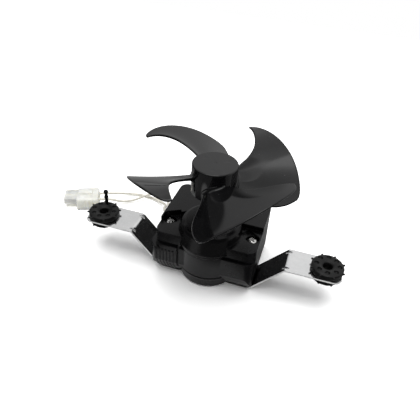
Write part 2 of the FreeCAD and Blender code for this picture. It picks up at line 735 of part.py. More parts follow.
def eased(stations, at):
    """Smooth interpolation through a few stations, with slopes taken from the neighbours."""
    xs = [s[0] for s in stations]
    ys = [s[1] for s in stations]
    i = max(k for k in range(len(xs) - 1) if xs[k] <= at or k == 0)
    step = xs[i + 1] - xs[i]
    t = (at - xs[i]) / step
    slope = [(ys[min(k + 1, len(ys) - 1)] - ys[max(k - 1, 0)]) / (xs[min(k + 1, len(xs) - 1)] - xs[max(k - 1, 0)])
             for k in (i, i + 1)]
    return ((2 * t ** 3 - 3 * t * t + 1) * ys[i] + (t ** 3 - 2 * t * t + t) * step * slope[0]
            + (3 * t * t - 2 * t ** 3) * ys[i + 1] + (t ** 3 - t * t) * step * slope[1])


def blade():
    """One sickle blade: a cambered sheet between a hollow leading edge and a full trailing edge."""
    hub, rim, reach = read("hubRadius"), read("rimRadius"), read("cornerReach")
    span = rim - hub
    # share of the way out, then degrees back from the tip
    leading = [(-0.04, -38.0), (0.09, -30.5), (0.28, -26.3), (0.5, -19.8), (0.66, -12.3), (0.8, -5.0), (0.94, 2.0)]
    trailing = [(-0.04, -88.0), (0.2, -84.0), (0.5, -83.0), (0.8, -76.8), (1.08, -67.8)]
    # share of the way from tip to trailing corner, then radius as a share of the span
    rim_line = [(0.0, 0.91), (0.06, 0.96), (0.15, 0.99), (0.5, 0.985), (0.8, 1 + 0.3 * reach / span),
                (0.93, 1 + 0.85 * reach / span), (0.98, 1 + 0.6 * reach / span), (1.0, 1 - 0.6 * reach / span)]
    rows, columns = 13, 19
    faces = []
    grids = ([], [])
    for j in range(columns):
        along = math.sin(math.pi / 2 * j / (columns - 1)) ** 1.3
        edge = eased(rim_line, along)
        lines = ([], [])
        for i in range(rows):
            share = -0.03 + (edge + 0.03) * i / (rows - 1)
            angle = (1 - along) * eased(leading, share) + along * eased(trailing, share)
            radius = hub + span * share
            turn = math.radians(angle)
            top = blade_height(share, angle)
            thick = read("bladeThick") * (1.25 - 0.4 * max(0.0, share))
            for grid_line, z in zip(lines, (top, top - thick)):
                grid_line.append(Vector(radius * math.cos(turn), radius * math.sin(turn), z))
        for grid, grid_line in zip(grids, lines):
            grid.append(grid_line)
    for grid in grids:
        surface = Part.BSplineSurface()
        surface.interpolate(grid)
        faces.append(surface.toShape())
    upper, lower = faces
    sides = []
    for a in upper.Edges:
        def apart(e):
            return (e.CenterOfMass - a.CenterOfMass).Length
        sides.append(Part.makeRuledSurface(a, min(lower.Edges, key=apart)))
    shell = Part.makeShell(faces + sides)
    shell.sewShape()
    solid = Part.makeSolid(shell)
    if solid.Volume < 0:
        solid.reverse()
    return solid


def fan_wheel():
    """Hub cup with an inner boss and webs, and the blades, as one moulding."""
    hub = body("hub_cup")
    turned(hub, [
        ("shaftRadius", "hubBottom + 1"), ("hubBoss", "hubBottom + 1"), ("hubBoss", "hubTop - 2.2"),
        ("hubRadius - hubWall", "hubTop - 2.2"), ("hubRadius - hubWall", "hubBottom"),
        ("hubRadius", "hubBottom"), ("hubRadius", "hubTop - 0.9"), ("hubRadius - 0.25", "hubTop - 0.3"),
        ("hubRadius - 0.9", "hubTop"), ("0", "hubTop"), ("0", "shaftTop + 0.1"), ("shaftRadius", "shaftTop + 0.1")])
    web = box_outline(sketch(hub, level="hubBottom + 2"), "hubBoss - 0.6", "-0.7", "hubRadius - hubWall + 0.5", "0.7")
    polar(hub, pad(hub, web, "hubTop - hubBottom - 3"), "bladeCount")
    doc.recompute()
    one = blade()
    wheel = hub.Shape
    count = int(read("bladeCount"))
    for i in range(count):
        copy = one.copy()
        copy.rotate(Vector(0, 0, 0), Vector(0, 0, 1), read("bladeStart") + 360.0 * i / count)
        wheel = wheel.fuse(copy)
    return shaped("fan_wheel", wheel.removeSplitter())


def lead_gland():
    """Bush in the left wall that the two leads come out of."""
    piece = body("lead_gland")
    disc = ring(sketch(piece, "YZ_Plane", "-bodyHalf - glandNose"), "glandRadius", "glandY", "glandZ")
    pad(piece, disc, "glandNose")
    plug = ring(sketch(piece, "YZ_Plane", "-bodyHalf - glandNose / 2"), "glandRadius - 1", "glandY", "glandZ")
    pad(piece, plug, "glandNose / 2 + wall + 1")
    return piece


# The leads' routes from the gland to the plug, each point chosen by hand, in millimetres
NEAR_ROUTE = [
    (-31.6, 20.9, 18.0), (-37.4, 20.9, 18.0), (-42.0, 31.0, 12.8), (-44.4, 41.4, 7.2), (-51.0, 48.6, 3.2),
    (-60.0, 53.6, 1.4), (-70.4, 54.4, 1.2), (-80.4, 50.4, 2.2), (-88.79, 42.33, 5.4), (-96.15, 39.2, 5.4)]
FAR_ROUTE = [
    (-31.6, 23.3, 18.0), (-35.8, 23.3, 18.0), (-40.8, 35.6, 16.4), (-47.0, 47.4, 10.0), (-54.6, 55.6, 5.2),
    (-63.0, 52.6, 4.8), (-70.6, 45.8, 2.0), (-78.6, 40.2, 1.8), (-86.06, 35.88, 5.4), (-93.42, 32.76, 5.4)]


def lead(label, route):
    """A round lead swept along straight runs joined by tangent arcs."""
    points = [Vector(*p) for p in route]
    radii = []
    edges = []
    start = points[0]
    for before, corner, after in zip(points, points[1:], points[2:]):
        into = (corner - before).normalize()
        out = (after - corner).normalize()
        turn = into.getAngle(out)
        cut = 0.45 * min((corner - before).Length, (after - corner).Length)
        radius = cut / math.tan(turn / 2)
        radii.append(round(radius, 1))
        a, b = corner - into * cut, corner + out * cut
        middle_dir = (out - into).normalize()
        centre = corner + middle_dir * (radius / math.cos(turn / 2))
        middle = centre - middle_dir * radius
        edges.append(Part.LineSegment(start, a).toShape())
        edges.append(Part.Arc(a, middle, b).toShape())
        start = b
    edges.append(Part.LineSegment(start, points[-1]).toShape())
    path = Part.Wire(edges)
    first = (points[1] - points[0]).normalize()
    section = Part.Wire([Part.Circle(points[0], first, read("leadRadius")).toShape()])
    solid = path.makePipeShell([section], True, False)
    expected = math.pi * read("leadRadius") ** 2 * path.Length
    print(label, "length", round(path.Length, 1), "bend radii", radii,
          "volume share", round(solid.Volume / expected, 3))
    return shaped(label, solid)


PLUG_TURN = 203.0
PLUG_PLACE = Vector(-94.2, 34.6, 0.0)


def connector_housing():
    """Two-pole plug: a body with grip ridges and a latch, and a flat nose with ribs along it."""
    piece = body("connector_housing")
    base = box_outline(sketch(piece, level="0"), "0", "-plugWidth / 2", "plugLength", "plugWidth / 2")
    pad(piece, base, "plugHeight")
    rounded(piece, "plugRound", lambda e: upright(e) or abs(e.CenterOfMass.z - read("plugHeight")) < 1e-6)
    nose_top = "noseLevel + noseHeight / 2"
    nose = box_outline(sketch(piece, "YZ_Plane", "plugLength - plugRound"), "-noseShift - noseWidth / 2",
                       "noseLevel - noseHeight / 2", "-noseShift + noseWidth / 2", nose_top)
    pad(piece, nose, "noseLength + plugRound")
    latch = box_outline(sketch(piece, level="plugHeight - 0.4"), "plugLength * 0.3", "-noseShift - latchHalf",
                        "plugLength - 1", "-noseShift + latchHalf")
    pad(piece, latch, "latchRise + 0.4")
    grip = box_outline(sketch(piece, level="1.0"), "1.6", "-plugWidth / 2 - gripReach", "2.6",
                       "plugWidth / 2 + gripReach")
    row(piece, pad(piece, grip, "plugHeight - 2"), "gripPitch", "4")
    ribs = sketch(piece, "YZ_Plane", "plugLength")
    for place in ("-0.42", "0", "0.42"):
        middle = "-noseShift + noseWidth * %s" % place
        box_outline(ribs, middle + " - noseRibWidth / 2", nose_top + " - 0.3",
                    middle + " + noseRibWidth / 2", nose_top + " + noseRib")
    pad(piece, ribs, "noseLength - 1")
    bores = sketch(piece, "YZ_Plane", "contactStart")
    for side in ("-", "+"):
        ring(bores, "contactRadius + 0.05", "-noseShift %s contactPitch / 2" % side, "noseLevel")
    pocket(piece, bores, "plugLength + noseLength", upward=True)
    piece.Placement = Placement(PLUG_PLACE, Rotation(Vector(0, 0, 1), PLUG_TURN))
    return piece


def connector_contacts():
    """The two crimp sockets inside the plug, as one group of two solids."""
    made = []
    start, end, level = read("contactStart"), read("plugLength + noseLength - 1.5"), read("noseLevel")
    for side in (-1, 1):
        y = side * read("contactPitch / 2") - read("noseShift")
        barrel = Part.makeCylinder(read("contactRadius"), end - start, Vector(start, y, level), Vector(1, 0, 0))
        depth = read("noseLength * 0.8")
        socket = Part.makeCylinder(read("contactBore"), depth, Vector(end - depth, y, level), Vector(1, 0, 0))
        made.append(barrel.cut(socket))
    group = Part.makeCompound(made)
    piece = shaped("connector_contacts", group)
    piece.Placement = Placement(PLUG_PLACE, Rotation(Vector(0, 0, 1), PLUG_TURN))
    return piece


parts = [
    mounting_strap(),
    grommet("left_grommet", "-", True),
    grommet("right_grommet", "", False),
    lower_housing(),
    upper_housing(),
    bearing_cap(),
    clamp_screws(),
    shaft(),
    bearing("lower_bearing", LOW_BEARING),
    bearing("upper_bearing", HIGH_BEARING),
    tube("lower_felt", "bearingRadius - 0.05", "shaftRadius + 0.3", LOW_FELT, "feltThick"),
    tube("upper_felt", "bearingRadius - 0.05", "shaftRadius + 0.3", HIGH_FELT, "feltThick"),
    tube("lower_clip", "bearingRadius", "shaftRadius + 0.6", LOW_CLIP, "clipThick"),
    tube("upper_clip", "bearingRadius", "shaftRadius + 0.6", HIGH_CLIP, "clipThick"),
    rotor_core(),
    rotor_cage(),
    tube("lower_spacer", "spacerRadius", "shaftRadius", LOW_MOUTH + " + 0.1",
         "stackBottom - (%s) - 0.1" % LOW_MOUTH),
    tube("upper_spacer", "spacerRadius", "shaftRadius", STACK_TOP, "(%s) - 0.1 - (%s)" % (HIGH_CLIP, STACK_TOP)),
    stator_stack(),
    coil_bar(),
    coil_bobbin(),
    wound_ring("coil_winding", "bobbinWall", "bobbinWall + windingDepth",
               "-bobbinHalf + bobbinFlange", "bobbinHalf - bobbinFlange"),
    wound_ring("coil_wrap", "bobbinWall + windingDepth", "bobbinWall + windingDepth + wrapThick",
               "-bobbinHalf + bobbinFlange + 0.2", "bobbinHalf - bobbinFlange - 0.2"),
    shading_ring("shading_ring_left", -1),
    shading_ring("shading_ring_right", 1),
    fan_wheel(),
    lead_gland(),
    lead("lead_near", NEAR_ROUTE),
    lead("lead_far", FAR_ROUTE),
    connector_housing(),
    connector_contacts(),
]

pad_disc = body("thrust_pad")
pad(pad_disc, ring(sketch(pad_disc, level=POCKET_FLOOR), "bearingRadius - 0.1"), "padThick")
parts.append(pad_disc)

doc.recompute()
for thing in doc.Objects:
    if "Invalid" in thing.State or "Error" in thing.State:
        raise ValueError("%s failed: %s" % (thing.Label, thing.State))
os.makedirs("parts", exist_ok=True)
for piece in parts:
    shape = piece.Shape
    if shape.isNull() or not shape.isValid():
        raise ValueError(piece.Label + " has no valid shape")
    box = shape.BoundBox
    print("%-20s solids %d volume %.1f z %.2f to %.2f" % (piece.Label, len(shape.Solids), shape.Volume,
                                                          box.ZMin, box.ZMax))
    shape.exportStep("parts/%s.step" % piece.Label)
print("nodes", len(parts))
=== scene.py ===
import math

import bmesh
import bpy
from mathutils import Matrix, Vector


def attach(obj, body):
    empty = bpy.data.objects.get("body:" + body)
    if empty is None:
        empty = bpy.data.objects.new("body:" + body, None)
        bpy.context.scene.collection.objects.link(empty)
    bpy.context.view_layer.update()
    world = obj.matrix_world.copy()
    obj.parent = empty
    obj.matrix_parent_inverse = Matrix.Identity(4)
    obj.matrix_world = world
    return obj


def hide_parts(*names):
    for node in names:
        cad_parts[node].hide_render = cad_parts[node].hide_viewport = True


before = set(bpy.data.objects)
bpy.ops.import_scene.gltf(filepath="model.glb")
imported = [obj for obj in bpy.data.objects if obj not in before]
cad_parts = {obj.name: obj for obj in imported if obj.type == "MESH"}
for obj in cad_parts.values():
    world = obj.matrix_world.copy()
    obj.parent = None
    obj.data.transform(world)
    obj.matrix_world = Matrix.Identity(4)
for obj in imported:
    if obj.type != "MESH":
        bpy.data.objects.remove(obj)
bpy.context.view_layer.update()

# Lengths are in millimetres, in the frame of the model: Z is the fan's axis and X runs along the strap
mm = 0.001


def newObject(name, data):
    made = bpy.data.objects.new(name, data)
    bpy.context.scene.collection.objects.link(made)
    return made


# Camera

camera = {
    "azimuth": 15.0, "elevation": 37.3, "roll": 4.0, "target": (-4.0, 10.5, 36.5), "distance": 269.0,
    # focal length and picture width in pixels, sensor width in millimetres, nearest point seen in metres
    "focal": 448.3, "picture": 420, "sensor": 36, "nearest": 0.01,
}


def placeCamera():
    turn, lift, roll = (math.radians(camera[k]) for k in ("azimuth", "elevation", "roll"))
    back = Vector((math.sin(turn) * math.cos(lift), -math.cos(turn) * math.cos(lift), math.sin(lift)))
    right = Vector((math.cos(turn), math.sin(turn), 0))
    up = back.cross(right)
    across = right * math.cos(roll) + up * math.sin(roll)
    upward = up * math.cos(roll) - right * math.sin(roll)
    data = bpy.data.cameras.new("camera")
    data.lens = camera["focal"] / camera["picture"] * camera["sensor"]
    data.sensor_width = camera["sensor"]
    data.clip_start = camera["nearest"]
    made = newObject("camera", data)
    place = Matrix((across, upward, back)).transposed().to_4x4()
    place.translation = (Vector(camera["target"]) + back * camera["distance"]) * mm
    made.matrix_world = place
    bpy.context.scene.camera = made


placeCamera()
print("camera placed")


# Node helpers

def node(tree, kind, **settings):
    # in_ marks the name of an input, and the rest are the node's own settings
    made = tree.nodes.new("ShaderNode" + kind)
    for name, value in settings.items():
        if name.startswith("in_"):
            made.inputs[name[3:]].default_value = value
        else:
            setattr(made, name, value)
    return made


def feed(tree, value, socket):
    # a socket takes a colour, a number or another node's output
    if isinstance(value, tuple):
        socket.default_value = (*value, 1)
    elif isinstance(value, (int, float)):
        socket.default_value = value
    else:
        tree.links.new(value, socket)


def mathNode(tree, operation, first, second):
    made = node(tree, "Math", operation=operation)
    feed(tree, first, made.inputs[0])
    feed(tree, second, made.inputs[1])
    return made.outputs[0]


def vectorNode(tree, operation, vector, other):
    made = node(tree, "VectorMath", operation=operation)
    tree.links.new(vector, made.inputs[0])
    made.inputs[1].default_value = other
    return made.outputs["Value"]


def mapped(tree, value, low, high, first=0.0, last=1.0):
    # where a value lies between low and high, as a number from first to last
    made = node(tree, "MapRange")
    tree.links.new(value, made.inputs[0])
    for index, limit in enumerate((low, high, first, last), 1):
        made.inputs[index].default_value = limit
    return made.outputs[0]


def mixColour(tree, mask, first, second):
    made = node(tree, "Mix", data_type="RGBA")
    for index, value in ((0, mask), (6, first), (7, second)):
        feed(tree, value, made.inputs[index])
    return made.outputs[2]


def mixFloat(tree, share, first, second):
    made = node(tree, "Mix", data_type="FLOAT")
    for index, value in ((0, share), (2, first), (3, second)):
        feed(tree, value, made.inputs[index])
    return made.outputs[0]


def noiseAt(tree, place, scale, detail, roughness=0.5):
    made = node(tree, "TexNoise", in_Detail=detail, in_Roughness=roughness)
    tree.links.new(place, made.inputs["Vector"])
    feed(tree, scale, made.inputs["Scale"])
    return made.outputs["Fac"]


def partsOf(tree, vector):
    made = node(tree, "SeparateXYZ")
    tree.links.new(vector, made.inputs[0])
    return made.outputs


# Shader groups, each made once and used with every material's own values

effects = {
    # pointiness where an edge begins to wear and where it is worn through
    "wornEdge": (0.53, 0.62),
    # how far up a face has to look to hold dust, and the noise that makes a dusty patch
    "dustSlope": (0.3, 1.0), "dustPatch": (0.45, 0.75),
    # specks in a pattern of cells: how fine it is, a dot's soft rim, and which cells have one
    "speckScale": 420.0, "speckDot": (0.06, 0.13), "speckCell": (0.7, 0.95),
}


def newGroup(name, values, outputs):
    # a group that takes a position and named numbers, and puts out named numbers
    group = bpy.data.node_groups.new(name, "ShaderNodeTree")
    group.interface.new_socket("Position", in_out="INPUT", socket_type="NodeSocketVector")
    for label, value in values.items():
        socket = group.interface.new_socket(label, in_out="INPUT", socket_type="NodeSocketFloat")
        socket.default_value = value
    for label in outputs:
        group.interface.new_socket(label, in_out="OUTPUT", socket_type="NodeSocketFloat")
    return group, group.nodes.new("NodeGroupInput").outputs, group.nodes.new("NodeGroupOutput").inputs


def edgeWearGroup():
    # a mask of worn edges, from the surface's own curvature and broken up by noise
    group, start, end = newGroup("edgeWear", {"Amount": 0.5, "Scale": 900.0}, ["Mask"])
    pointed = node(group, "NewGeometry").outputs["Pointiness"]
    sharp = mapped(group, pointed, *effects["wornEdge"])
    broken = mathNode(group, "MULTIPLY", sharp, noiseAt(group, start["Position"], start["Scale"], detail=4.0))
    group.links.new(mathNode(group, "MULTIPLY", broken, start["Amount"]), end["Mask"])
    return group


def dustGroup():
    # dust on the faces that look up, as a powder in soft patches and as single specks
    group, start, end = newGroup("dust", {"Amount": 0.3, "Scale": 120.0, "Specks": 0.5}, ["Mask"])
    normal = partsOf(group, node(group, "NewGeometry").outputs["Normal"])
    upward = mapped(group, normal["Z"], *effects["dustSlope"])
    clouds = noiseAt(group, start["Position"], start["Scale"], detail=6.0, roughness=0.65)
    patch = mapped(group, clouds, *effects["dustPatch"])
    powder = mathNode(group, "MULTIPLY", patch, start["Amount"])
    cells = node(group, "TexVoronoi", in_Scale=effects["speckScale"])
    group.links.new(start["Position"], cells.inputs["Vector"])
    dot = mapped(group, cells.outputs["Distance"], *effects["speckDot"], first=1.0, last=0.0)
    rare = mapped(group, partsOf(group, cells.outputs["Color"])["X"], *effects["speckCell"])
    specks = mathNode(group, "MULTIPLY", mathNode(group, "MULTIPLY", dot, rare), start["Specks"])
    total = mathNode(group, "MAXIMUM", powder, specks)
    group.links.new(mathNode(group, "MULTIPLY", upward, total), end["Mask"])
    return group


def grainGroup():
    # moulded grain: a fine and a broad height, and how far tone and gloss vary with them
    group, start, end = newGroup("grain", {"Fine": 3000.0, "Broad": 160.0, "Waviness": 0.3},
                                 ["Height", "Variation"])
    fine = noiseAt(group, start["Position"], start["Fine"], detail=2.0)
    broad = noiseAt(group, start["Position"], start["Broad"], detail=3.0, roughness=0.6)
    wave = mathNode(group, "MULTIPLY", broad, start["Waviness"])
    group.links.new(mathNode(group, "ADD", fine, wave), end["Height"])
    group.links.new(broad, end["Variation"])
    return group


edgeWear, dust, grain = edgeWearGroup(), dustGroup(), grainGroup()


def useGroup(tree, group, place, **values):
    made = node(tree, "Group", node_tree=group)
    tree.links.new(place, made.inputs["Position"])
    for key, value in values.items():
        made.inputs[key].default_value = value
    return made.outputs


# Materials

surface = {
    # the noise's usual range, over which tone and gloss vary
    "noiseRange": (0.3, 0.7),
    # moulded: how much paler the tone gets, how dull dust makes it, and the grain's depth in metres
    "paler": 1.35, "dustDull": 0.5, "grainDepth": 0.00005,
    # rolled: spangles and clouds per metre, the range that shows them, their tone, the brushing's depth
    "spangleScale": 420.0, "spangleRange": (0.0, 0.9), "spangleShare": 0.25, "spangleTone": 0.86,
    "cloudScale": 90.0, "cloudRange": (0.12, 0.42), "brushDepth": 0.00003,
    # bump strength for a height of one, and rays that round an edge
    "bumpStrength": 10, "bevelSamples": 4,
}


def shaderBase(name, settings):
    # a new material's tree, its Principled shader and the position on the object
    made = bpy.data.materials.new(name)
    made.use_nodes = True
    tree = made.node_tree
    shader = tree.nodes["Principled BSDF"]
    for key, value in settings.items():
        shader.inputs[key].default_value = value
    return made, tree, shader.inputs, node(tree, "TexCoord").outputs["Object"]


def setGloss(tree, shader, noise, rough, spread, extra=None):
    gloss = mapped(tree, noise, *surface["noiseRange"], rough - spread, rough + spread)
    tree.links.new(gloss if extra is None else mathNode(tree, "ADD", gloss, extra), shader["Roughness"])


def setNormal(tree, shader, height, strength, depth, rounding):
    # edges rounded by a bevel, with a fine bump on top
    soft = node(tree, "Bevel", samples=surface["bevelSamples"], in_Radius=rounding)
    bump = node(tree, "Bump", in_Strength=strength * surface["bumpStrength"], in_Distance=depth)
    tree.links.new(height, bump.inputs["Height"])
    tree.links.new(soft.outputs[0], bump.inputs["Normal"])
    tree.links.new(bump.outputs[0], shader["Normal"])


def moulded(name, colour, worn, dusty, rough, spread, grainHeight=0.02, waviness=0.3, wear=0.5,
            dustAmount=0.3, rounding=0.0003, **settings):
    # plastic or rubber with fine grain, uneven gloss, pale worn edges and a little dust
    made, tree, shader, place = shaderBase(name, settings)
    texture = useGroup(tree, grain, place, Waviness=waviness)
    edges = useGroup(tree, edgeWear, place, Amount=wear)
    powder = useGroup(tree, dust, place, Amount=dustAmount)
    shade = mapped(tree, texture["Variation"], *surface["noiseRange"])
    base = mixColour(tree, shade, colour, tuple(c * surface["paler"] for c in colour))
    base = mixColour(tree, edges["Mask"], base, worn)
    tree.links.new(mixColour(tree, powder["Mask"], base, dusty), shader["Base Color"])
    dull = mathNode(tree, "MULTIPLY", powder["Mask"], surface["dustDull"])
    setGloss(tree, shader, texture["Variation"], rough, spread, dull)
    setNormal(tree, shader, texture["Height"], grainHeight, surface["grainDepth"], rounding)
    return made


def rolledMetal(name, colour, shadow, rough, spread, stretch, brush=0.03, rounding=0.00015, **settings):
    # rolled or turned metal with streaks along one direction, darker clouds and faint spangles
    made, tree, shader, place = shaderBase(name, {"Metallic": 1.0, **settings})
    along = node(tree, "Mapping", in_Scale=stretch)
    tree.links.new(place, along.inputs["Vector"])
    streak = noiseAt(tree, along.outputs[0], scale=1.0, detail=5.0, roughness=0.7)
    cloud = noiseAt(tree, place, surface["cloudScale"], detail=4.0)
    mask = mapped(tree, mathNode(tree, "MULTIPLY", streak, cloud), *surface["cloudRange"])
    base = mixColour(tree, mask, shadow, colour)
    cells = node(tree, "TexVoronoi", feature="SMOOTH_F1", in_Scale=surface["spangleScale"])
    tree.links.new(place, cells.inputs["Vector"])
    spangle = mapped(tree, cells.outputs["Distance"], *surface["spangleRange"], 0.0, surface["spangleShare"])
    spangled = tuple(c * surface["spangleTone"] for c in colour)
    tree.links.new(mixColour(tree, spangle, base, spangled), shader["Base Color"])
    setGloss(tree, shader, streak, rough, spread)
    setNormal(tree, shader, streak, brush, surface["brushDepth"], rounding)
    return made


# moulded: own colour, colour where worn, colour of the dust, roughness and how far it varies
fanPlastic = moulded("fanPlastic", (0.0035, 0.0035, 0.0038), (0.03, 0.03, 0.033), (0.08, 0.08, 0.08),
                     0.06, 0.015, grainHeight=0.0015, waviness=1.0, wear=0.2, dustAmount=0.02)
housingPlastic = moulded("housingPlastic", (0.0025, 0.0025, 0.0028), (0.03, 0.03, 0.033),
                         (0.08, 0.077, 0.085), 0.24, 0.05, grainHeight=0.008, waviness=0.8, wear=0.3,
                         dustAmount=0.04, rounding=0.0007, **{"Specular IOR Level": 0.24})
blackRubber = moulded("blackRubber", (0.003, 0.003, 0.003), (0.02, 0.02, 0.02), (0.03, 0.03, 0.03),
                      0.42, 0.12, grainHeight=0.05, waviness=0.8, wear=0.3, dustAmount=0.1,
                      **{"Specular IOR Level": 0.3})
naturalNylon = moulded("naturalNylon", (0.75, 0.745, 0.67), (0.9, 0.9, 0.87), (0.78, 0.77, 0.72), 0.5, 0.08,
                       grainHeight=0.03, wear=0.2, dustAmount=0.1,
                       **{"Subsurface Weight": 1.0, "Subsurface Radius": (1.0, 0.95, 0.85),
                          "Subsurface Scale": 0.006})
leadSleeve = moulded("leadSleeve", (0.66, 0.64, 0.57), (0.84, 0.82, 0.76), (0.66, 0.62, 0.54), 0.45, 0.08,
                     grainHeight=0.03, wear=0.1, dustAmount=0.15, rounding=0.00005)
oilFelt = moulded("oilFelt", (0.5, 0.46, 0.38), (0.6, 0.56, 0.48), (0.5, 0.46, 0.4), 0.85, 0.05,
                  grainHeight=0.2)
tapeFilm = moulded("tapeFilm", (0.62, 0.5, 0.14), (0.7, 0.6, 0.25), (0.5, 0.45, 0.3), 0.3, 0.05)

# rolled or turned: own colour, colour of the clouds, roughness and how far it varies, streaks per metre
zincStrap = rolledMetal("zincStrap", (0.84, 0.84, 0.84), (0.74, 0.745, 0.75), 0.17, 0.05, (90, 420, 90),
                        brush=0.004)
# the sheared sides' finish, bright as cut metal and brighter still as a painted highlight along the strip's
# edges
shearedZincHighlight = rolledMetal("shearedZincHighlight", (0.97, 0.97, 0.96), (0.88, 0.88, 0.88), 0.35, 0.08, (200, 200, 1500),
                          brush=0.01, rounding=0.0006, **{"Metallic": 0.2})
zincScrew = rolledMetal("zincScrew", (0.86, 0.85, 0.83), (0.5, 0.5, 0.5), 0.2, 0.06, (900, 900, 900))
groundSteel = rolledMetal("groundSteel", (0.7, 0.7, 0.71), (0.5, 0.5, 0.52), 0.2, 0.05, (300, 300, 4000))
laminatedSteel = rolledMetal("laminatedSteel", (0.36, 0.37, 0.39), (0.2, 0.2, 0.21), 0.4, 0.08,
                             (40, 40, 2000), brush=0.12)
castAluminium = rolledMetal("castAluminium", (0.7, 0.71, 0.72), (0.5, 0.5, 0.5), 0.42, 0.08, (400, 400, 400))
oiledBronze = rolledMetal("oiledBronze", (0.6, 0.4, 0.22), (0.36, 0.24, 0.14), 0.35, 0.08, (1600, 1600, 1600))
copperWire = rolledMetal("copperWire", (0.72, 0.33, 0.17), (0.45, 0.18, 0.08), 0.3, 0.06, (2600, 40, 40),
                         brush=0.1)
tinnedBrass = rolledMetal("tinnedBrass", (0.76, 0.73, 0.65), (0.55, 0.5, 0.4), 0.25, 0.05, (500, 500, 500))

finishes = {
    "mounting_strap": zincStrap, "left_grommet": blackRubber, "right_grommet": blackRubber,
    "lower_housing": housingPlastic, "upper_housing": housingPlastic, "bearing_cap": housingPlastic,
    "clamp_screws": zincScrew, "shaft": groundSteel,
    "lower_bearing": oiledBronze, "upper_bearing": oiledBronze,
    "lower_felt": oilFelt, "upper_felt": oilFelt, "lower_clip": zincScrew, "upper_clip": zincScrew,
    "thrust_pad": naturalNylon, "rotor_core": laminatedSteel, "rotor_cage": castAluminium,
    "lower_spacer": naturalNylon, "upper_spacer": naturalNylon, "stator_stack": laminatedSteel,
    "coil_bar": laminatedSteel, "coil_bobbin": naturalNylon, "coil_winding": copperWire,
    "coil_wrap": tapeFilm,
    "shading_ring_left": copperWire, "shading_ring_right": copperWire, "fan_wheel": fanPlastic,
    "lead_gland": blackRubber, "lead_near": leadSleeve, "lead_far": leadSleeve,
    "connector_housing": naturalNylon, "connector_contacts": tinnedBrass,
}
for name, finish in finishes.items():
    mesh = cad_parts[name].data
    mesh.materials.clear()
    mesh.materials.append(finish)


def finishShearedSides(mesh, uprightBelow=0.05):
    # the strip's upright sheared sides get a brighter finish than its rolled faces: partly their own cut
    # metal, partly a painted highlight along the edges
    mesh.materials.append(shearedZincHighlight)
    for face in mesh.polygons:
        if abs(face.normal.z) < uprightBelow:
            face.material_index = 1


finishShearedSides(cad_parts["mounting_strap"].data)
print("materials made")


def newPiece(name, mesh, body, slotName, finish, *nodes):
    made = newObject(name, mesh)
    made.data.materials.append(finish)
    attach(made, body)
    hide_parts(*nodes)
    return made


# Mesh helpers

def eased(stations, at):
    # a smooth curve through a few stations, with slopes taken from the neighbours
    xs = [s[0] for s in stations]
    ys = [s[1] for s in stations]
    last = len(xs) - 1
    i = max(k for k in range(last) if xs[k] <= at or k == 0)
    step = xs[i + 1] - xs[i]
    t = (at - xs[i]) / step
    slope = [(ys[min(k + 1, last)] - ys[max(k - 1, 0)]) / (xs[min(k + 1, last)] - xs[max(k - 1, 0)])
             for k in (i, i + 1)]
    return ((2 * t ** 3 - 3 * t * t + 1) * ys[i] + (t ** 3 - 2 * t * t + t) * step * slope[0]
            + (3 * t * t - 2 * t ** 3) * ys[i + 1] + (t ** 3 - t * t) * step * slope[1])


def spaced(first, last, length, count):
    # places along a length: the first steps from its start, the last ones from its end, even between
    between = length - last[-1] - first[-1]
    inner = [first[-1] + between * k / (count + 1) for k in range(1, count + 1)]
    return list(first) + inner + [length - s for s in reversed(last)]


def addGrid(build, rows, flip=False):
    # quads between rows of points
    made = [[build.verts.new(p * mm) for p in row] for row in rows]
    for a, b in zip(made, made[1:]):
        for k in range(len(a) - 1):
            quad = (a[k], a[k + 1], b[k + 1], b[k])
            build.faces.new(reversed(quad) if flip else quad)


def arc(centre, radius, first, last, steps=6):
    # points of a round corner in a profile of (radius, height), in degrees
    turns = [math.radians(first + (last - first) * k / steps) for k in range(steps + 1)]
    return [(centre[0] + radius * math.cos(t), centre[1] + radius * math.sin(t)) for t in turns]


def addLathe(build, profile, segments, centre=(0, 0), dip=None):
    # a profile of (radius, height) turned about an upright axis, with dips in its surface
    turns = [2 * math.pi * k / segments for k in range(segments)]
    rows = []
    for radius, height in profile:
        ring = []
        for turn in turns:
            x, y = radius * math.cos(turn), radius * math.sin(turn)
            ring.append(Vector((centre[0] + x, centre[1] + y, height - (dip(x, y, height) if dip else 0))))
        rows.append(ring + ring[:1])
    addGrid(build, rows)


def addPeg(build, start, way, length, radius, segments=20):
    # a short round peg with a domed end, standing out along a direction
    side = way.orthogonal().normalized()
    other = way.cross(side)
    turns = [2 * math.pi * k / segments for k in range(segments)]
    rows = []
    for out, reach in [(0, radius)] + arc((length - radius, 0), radius, 90, 0):
        ring = [start + way * out + (side * math.cos(t) + other * math.sin(t)) * reach for t in turns]
        rows.append(ring + ring[:1])
    addGrid(build, rows)


def hollowAt(x, y, spots, radius, depth, steepness=2.5):
    # how deep the nearest of several round hollows is at a place, with a soft edge
    near = min(math.hypot(x - a, y - b) for a, b in spots)
    share = min(1.0, max(0.0, 1 - near / radius) * steepness)
    return depth * share ** 2 * (3 - 2 * share)


def spotsRound(count, reach, start):
    # places on a circle about the axis, the first at an angle in degrees
    turns = [math.radians(start + 360 * k / count) for k in range(count)]
    return [(reach * math.cos(t), reach * math.sin(t)) for t in turns]


def finished(build, name, sharpFrom, joined=0.002, thinnest=0.0005):
    # the built mesh, joined, smooth, and sharp only at corners of so many degrees
    bmesh.ops.remove_doubles(build, verts=build.verts, dist=joined * mm)
    bmesh.ops.dissolve_degenerate(build, dist=thinnest * mm, edges=build.edges)
    bmesh.ops.recalc_face_normals(build, faces=build.faces)
    mesh = bpy.data.meshes.new(name)
    build.to_mesh(mesh)
    build.free()
    mesh.polygons.foreach_set("use_smooth", [True] * len(mesh.polygons))
    mesh.set_sharp_from_angle(angle=math.radians(sharpFrom))
    return mesh


# Fan wheel, the hub cup and its blades as one smooth moulding

